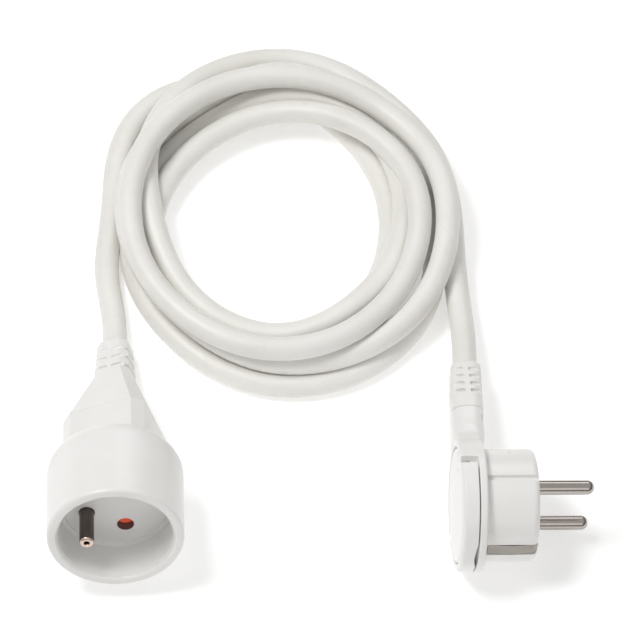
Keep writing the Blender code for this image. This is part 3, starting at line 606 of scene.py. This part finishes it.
def plug_back_cover():
    profile = [(0, COVER_BACK), *arc(COVER_RADIUS - 0.9, COVER_BACK + 0.9, 0.9, -90, 0, 8)]
    profile += [(COVER_RADIUS, COVER_FRONT), (0, COVER_FRONT)]
    slots = []
    for side in (-1, 1):
        y = sorted((side * 17, side * (COVER_RADIUS + 1)))
        slots.append(box((-1.4, y[0], -7.4), (1.4, y[1], -4)))
    return moulding("plug_back_plate", turned(profile), cut=slots, grain=0.25, soften=2)


def plug_strain_relief():
    def station(along, width, thickness, corner):
        middle = NECK_END_MIDDLE + (along - RELIEF_START) * NECK_LEAN
        return along, section(width, thickness, corner, middle)

    start = RELIEF_START - 0.25
    stations = [
        station(start, 13.4, 10.7, 3.8),
        station((start + PLUG_REACH) / 2, 12.2, 10.6, 3.6),
        station(PLUG_REACH - 0.8, 11.1, 10.2, 3.4),
        station(PLUG_REACH, 10.3, 9.6, 3.2),
        station(PLUG_REACH, SHEATH_HOLE, SHEATH_HOLE, SHEATH_HOLE / 2),
        station(start, SHEATH_HOLE, SHEATH_HOLE, SHEATH_HOLE / 2),
    ]
    middle = NECK_END_MIDDLE + (PLUG_REACH - RELIEF_START - 8) * NECK_LEAN
    first = PLUG_REACH - 14
    slots = relief_slots(first, 3.2, SLOT_WIDTH, 4, rib=0.9, depth=SLOT_DEPTH, axis="x", middle=middle)
    return moulding("plug_relief_shell", lofted(stations, "x", ring=True), cut=slots, grain=0.2, soften=2)


def plug_pin(name, side):
    tip = BODY_LENGTH + PIN_REACH
    profile = [(0, 14), (PIN_RADIUS, 14), *arc(PIN_RADIUS - 2.2, tip - 2.2, 2.2, 0, 90, 12), (0, tip)]
    return moulding(name, turned(profile, 64, (0, side * LIVE_OFFSET)), grain=0)


def pull_handle():
    inner, outer = HANDLE_RADIUS, FLANGE_RADIUS - 0.1
    past = math.degrees(math.asin(HANDLE_PAST / outer))

    def corners(angle):
        away = abs(angle - math.pi)
        dip = DIP * max(0.0, 1 - (away / DIP_HALF_ANGLE) ** 2)
        low, high = HANDLE_MIDDLE - HANDLE_HALF, HANDLE_MIDDLE + HANDLE_HALF - dip
        return [(inner, low), (outer - 0.8, low), (outer, low + 0.8), (outer, high), (inner, high)]

    return moulding("pull_handle_ring", swept_ring(corners, 90 - past, 270 + past, 120), grain=0.2, soften=3)


def make_plug(materials):
    """The plug's pieces: the handle is attached to a body of its own, and the others, attached to the root,
    are returned.
    """
    fit(pull_handle(), PLUG_FRAME, "pull_handle", materials["housing"], body="handle")
    return [
        fit(plug_body(), PLUG_FRAME, "plug_body", materials["housing"]),
        fit(plug_head(), PLUG_FRAME, "plug_head", materials["housing"]),
        fit(plug_back_cover(), PLUG_FRAME, "plug_back_cover", materials["housing"]),
        fit(plug_strain_relief(), PLUG_FRAME, "plug_strain_relief", materials["relief"]),
        fit(plug_pin("pin_upper_bar", 1), PLUG_FRAME, "plug_pin_upper", materials["pin"], sharp=40),
        fit(plug_pin("pin_lower_bar", -1), PLUG_FRAME, "plug_pin_lower", materials["pin"], sharp=40),
    ]


# ---------------------------------------------------------------- materials
class Nodes:
    """A material's node tree, with short calls to add to it."""

    def __init__(self, name, roughness=0.4, metallic=0.0, **sockets):
        self.material = bpy.data.materials.new(name)
        self.material.use_nodes = True
        self.tree = self.material.node_tree
        self.shader = self.tree.nodes["Principled BSDF"]
        self.shader.inputs["Roughness"].default_value = roughness
        self.shader.inputs["Metallic"].default_value = metallic
        for socket, value in sockets.items():
            self.shader.inputs[socket.replace("_", " ")].default_value = value
        self.place = self.add("ShaderNodeTexCoord").outputs["Object"]

    def add(self, kind, **values):
        node = self.tree.nodes.new(kind)
        for key, value in values.items():
            if hasattr(node, key):
                setattr(node, key, value)
            else:
                node.inputs[key.replace("_", " ")].default_value = value
        return node

    def link(self, out, into):
        self.tree.links.new(out, into)

    def noise(self, scale, detail=4.0, roughness=0.6, stretch=None):
        node = self.add("ShaderNodeTexNoise", Scale=scale, Detail=detail, Roughness=roughness)
        if stretch is None:
            self.link(self.place, node.inputs["Vector"])
        else:
            mapping = self.add("ShaderNodeMapping", Scale=stretch)
            self.link(self.place, mapping.inputs["Vector"])
            self.link(mapping.outputs["Vector"], node.inputs["Vector"])
        return node.outputs["Fac"]

    def ramp(self, value, *stops):
        node = self.add("ShaderNodeValToRGB")
        band = node.color_ramp
        while len(band.elements) < len(stops):
            band.elements.new(0.5)
        for element, (at, colour) in zip(band.elements, stops):
            element.position = at
            element.color = (*colour, 1)
        self.link(value, node.inputs["Fac"])
        return node.outputs["Color"]

    def mix(self, amount, a, b, blend="MIX"):
        node = self.add("ShaderNodeMix", data_type="RGBA", blend_type=blend)
        sockets = [node.inputs[0], node.inputs[6], node.inputs[7]]
        for value, socket in zip((amount, a, b), sockets):
            if isinstance(value, bpy.types.NodeSocket):
                self.link(value, socket)
            elif isinstance(value, tuple):
                socket.default_value = (*value, 1)
            else:
                socket.default_value = value
        return node.outputs[2]

    def colour(self, value):
        self.link(value, self.shader.inputs["Base Color"])

    def gloss(self, value, low, high):
        node = self.add("ShaderNodeMapRange")
        node.inputs["To Min"].default_value = low
        node.inputs["To Max"].default_value = high
        self.link(value, node.inputs["Value"])
        self.link(node.outputs["Result"], self.shader.inputs["Roughness"])

    def bump(self, value, strength, distance):
        node = self.add("ShaderNodeBump", Strength=strength, Distance=distance)
        self.link(value, node.inputs["Height"])
        if self.shader.inputs["Normal"].is_linked:
            self.link(self.shader.inputs["Normal"].links[0].from_socket, node.inputs["Normal"])
        self.link(node.outputs["Normal"], self.shader.inputs["Normal"])


def moulded(name, pale, dark, roughness=(0.28, 0.42), grain=0.00003, grain_scale=2600, **sockets):
    """Moulded plastic: a faint cloudy tint, fine spark-eroded grain, and uneven gloss."""
    n = Nodes(name, **sockets)
    cloud = n.noise(38, 3)
    n.colour(n.ramp(cloud, (0.3, dark), (0.7, pale)))
    fine = n.noise(grain_scale, 2)
    n.gloss(n.noise(160, 5), *roughness)
    n.bump(fine, 0.25, grain)
    n.bump(n.noise(60, 2), 0.15, 0.0003)
    return n.material


def cord_sheath():
    """Soft white sheath: a faint cloudy tint, fine matt grain, light soiling."""
    n = Nodes("cord_sheath", roughness=0.42, Subsurface_Weight=0.06, Coat_Weight=0.08, Coat_Roughness=0.35)
    n.shader.inputs["Subsurface Radius"].default_value = (0.004, 0.003, 0.002)
    cloud = n.noise(30, 4)
    tint = n.ramp(cloud, (0.25, (0.78, 0.765, 0.72)), (0.6, (0.85, 0.84, 0.805)), (0.85, (0.87, 0.865, 0.84)))
    soil = n.ramp(n.noise(420, 6, 0.7), (0.55, (1, 1, 1)), (0.9, (0.93, 0.915, 0.88)))
    n.colour(n.mix(1.0, tint, soil, "MULTIPLY"))
    n.gloss(n.noise(220, 4), 0.36, 0.52)
    n.bump(n.noise(3200, 2), 0.3, 0.00004)
    n.bump(n.noise(90, 3), 0.2, 0.0004)
    return n.material


def metal(name, colour, dark, roughness=(0.16, 0.32), scratches=(30, 30, 900)):
    """Plated or drawn metal: drawing marks, uneven tarnish."""
    n = Nodes(name, metallic=1.0)
    marks = n.noise(40, 5, 0.7, stretch=scratches)
    n.colour(n.mix(n.noise(120, 4), dark, colour))
    n.gloss(marks, *roughness)
    n.bump(marks, 0.2, 0.00004)
    return n.material


def striped(name, base, stripe):
    """Earth core insulation: two colours along the core."""
    n = Nodes(name, roughness=0.35)
    wave = n.add("ShaderNodeTexWave", Scale=60.0, Distortion=0.6)
    n.link(n.place, wave.inputs["Vector"])
    n.colour(n.ramp(wave.outputs["Fac"], (0.45, base), (0.55, stripe)))
    n.bump(n.noise(900, 3), 0.2, 0.00003)
    return n.material


WHITE = (0.88, 0.875, 0.86)
WHITE_SHADE = (0.84, 0.832, 0.81)


def make_materials():
    return {
        "housing": moulded("housing_plastic", WHITE, WHITE_SHADE, (0.24, 0.36)),
        "relief": moulded("relief_plastic", (0.87, 0.863, 0.845), (0.83, 0.82, 0.795), (0.32, 0.45)),
        "insert": moulded("insert_plastic", (0.89, 0.885, 0.87), (0.84, 0.835, 0.82), (0.35, 0.5)),
        "inner_plastic": moulded("inner_plastic", (0.72, 0.71, 0.67), (0.66, 0.65, 0.6), (0.35, 0.5)),
        # The shutter glows faintly: painted light, brightening the red where it lies in shade at the bottom
        # of the holes.
        "shutter": moulded("shutter_plastic", (0.95, 0.20, 0.11), (0.90, 0.16, 0.09), (0.25, 0.4),
                           Emission_Strength=0.35, Emission_Color=(0.9, 0.10, 0.05, 1)),
        "steel": metal("bright_steel", (0.62, 0.62, 0.62), (0.5, 0.5, 0.5)),
        "brass": metal("pressed_brass", (0.80, 0.62, 0.32), (0.66, 0.48, 0.22)),
        # The plate is coloured far darker than nickel: painted shade for the earth clips down their slots in
        # the plug body.
        "plated": metal("nickel_plate", (0.36, 0.34, 0.31), (0.22, 0.20, 0.18)),
        "cord": cord_sheath(),
        "core_brown": moulded("core_brown", (0.22, 0.10, 0.05), (0.16, 0.07, 0.035)),
        "core_blue": moulded("core_blue", (0.05, 0.16, 0.5), (0.04, 0.12, 0.4)),
        "earth_pin": metal("dark_pin_steel", (0.16, 0.14, 0.13), (0.09, 0.075, 0.065), (0.22, 0.4)),
        "pin_tip": metal("pale_pin_tip", (0.80, 0.66, 0.58), (0.62, 0.48, 0.40), (0.3, 0.45)),
        "pin": metal("polished_nickel", (0.50, 0.46, 0.43), (0.40, 0.36, 0.335), (0.08, 0.16)),
        # Painted shade: a dark colour for the live holes' walls, standing in for the shade down the holes.
        "hole": moulded("shaded_hole_wall", (0.20, 0.17, 0.15), (0.14, 0.12, 0.105), (0.5, 0.7)),
        "core_earth": striped("core_earth", (0.10, 0.42, 0.08), (0.75, 0.66, 0.08)),
    }


def dress_nodes(materials):
    slots = {row["node"]: row["material_slot"] for row in frame["record"]["subparts"]}
    for name, slot in slots.items():
        node = frame["nodes"][name]
        node.data.materials.clear()
        node.data.materials.append(materials[slot])
        for face in node.data.polygons:
            face.use_smooth = True


# ---------------------------------------------------------------- stage
def area_light(name, place, target, size, power):
    data = bpy.data.lights.new(name, "AREA")
    data.shape = "RECTANGLE"
    data.size, data.size_y = size
    data.energy = power
    light = bpy.data.objects.new(name, data)
    light.location = place
    aim = Vector(target) - Vector(place)
    light.rotation_euler = aim.to_track_quat("-Z", "Y").to_euler()
    bpy.context.collection.objects.link(light)


def make_sky():
    """White overhead and darker towards the horizon, as a studio is round a light box."""
    world = bpy.data.worlds.new("world")
    world.use_nodes = True
    tree = world.node_tree
    direction = tree.nodes.new("ShaderNodeTexCoord").outputs["Generated"]
    split = tree.nodes.new("ShaderNodeSeparateXYZ")
    ramp = tree.nodes.new("ShaderNodeValToRGB")
    ramp.color_ramp.elements[0].position = 0.1
    ramp.color_ramp.elements[0].color = (0.12, 0.10, 0.08, 1)
    ramp.color_ramp.elements[1].position = 0.85
    ramp.color_ramp.elements[1].color = (1, 1, 1, 1)
    background = tree.nodes["Background"]
    background.inputs["Strength"].default_value = 0.62
    tree.links.new(direction, split.inputs["Vector"])
    tree.links.new(split.outputs["Z"], ramp.inputs["Fac"])
    tree.links.new(ramp.outputs["Color"], background.inputs["Color"])
    bpy.context.scene.world = world


def make_stage():
    mesh = bpy.data.meshes.new("floor")
    build = bmesh.new()
    bmesh.ops.create_grid(build, x_segments=1, y_segments=1, size=3.0)
    build.to_mesh(mesh)
    build.free()
    floor = bpy.data.objects.new("floor", mesh)
    bpy.context.collection.objects.link(floor)
    n = Nodes("floor_paper", roughness=0.9, Emission_Strength=0.3)
    n.shader.inputs["Emission Color"].default_value = (1, 1, 1, 1)
    n.colour(n.ramp(n.noise(5, 2), (0.3, (0.90, 0.90, 0.90)), (0.7, (0.92, 0.92, 0.92))))
    mesh.materials.append(n.material)
    make_sky()
    centre = (0, 0.05, 0)
    area_light("key", (-0.5, 0.1, 1.2), centre, (0.4, 0.4), 7.5)
    area_light("fill", (0.3, -1.1, 0.75), centre, (0.8, 0.8), 1.5)
    area_light("back", (0.3, 1.1, 0.8), centre, (0.7, 0.4), 1.6)
    bpy.context.scene.view_settings.view_transform = "Standard"


def main():
    make_camera()
    cord, route = make_cord()
    materials = make_materials()
    cord.data.materials.append(materials["cord"])
    dress_nodes(materials)
    make_coupler(materials)
    plug_pieces = make_plug(materials)
    declare_cord()
    make_stage()


main()
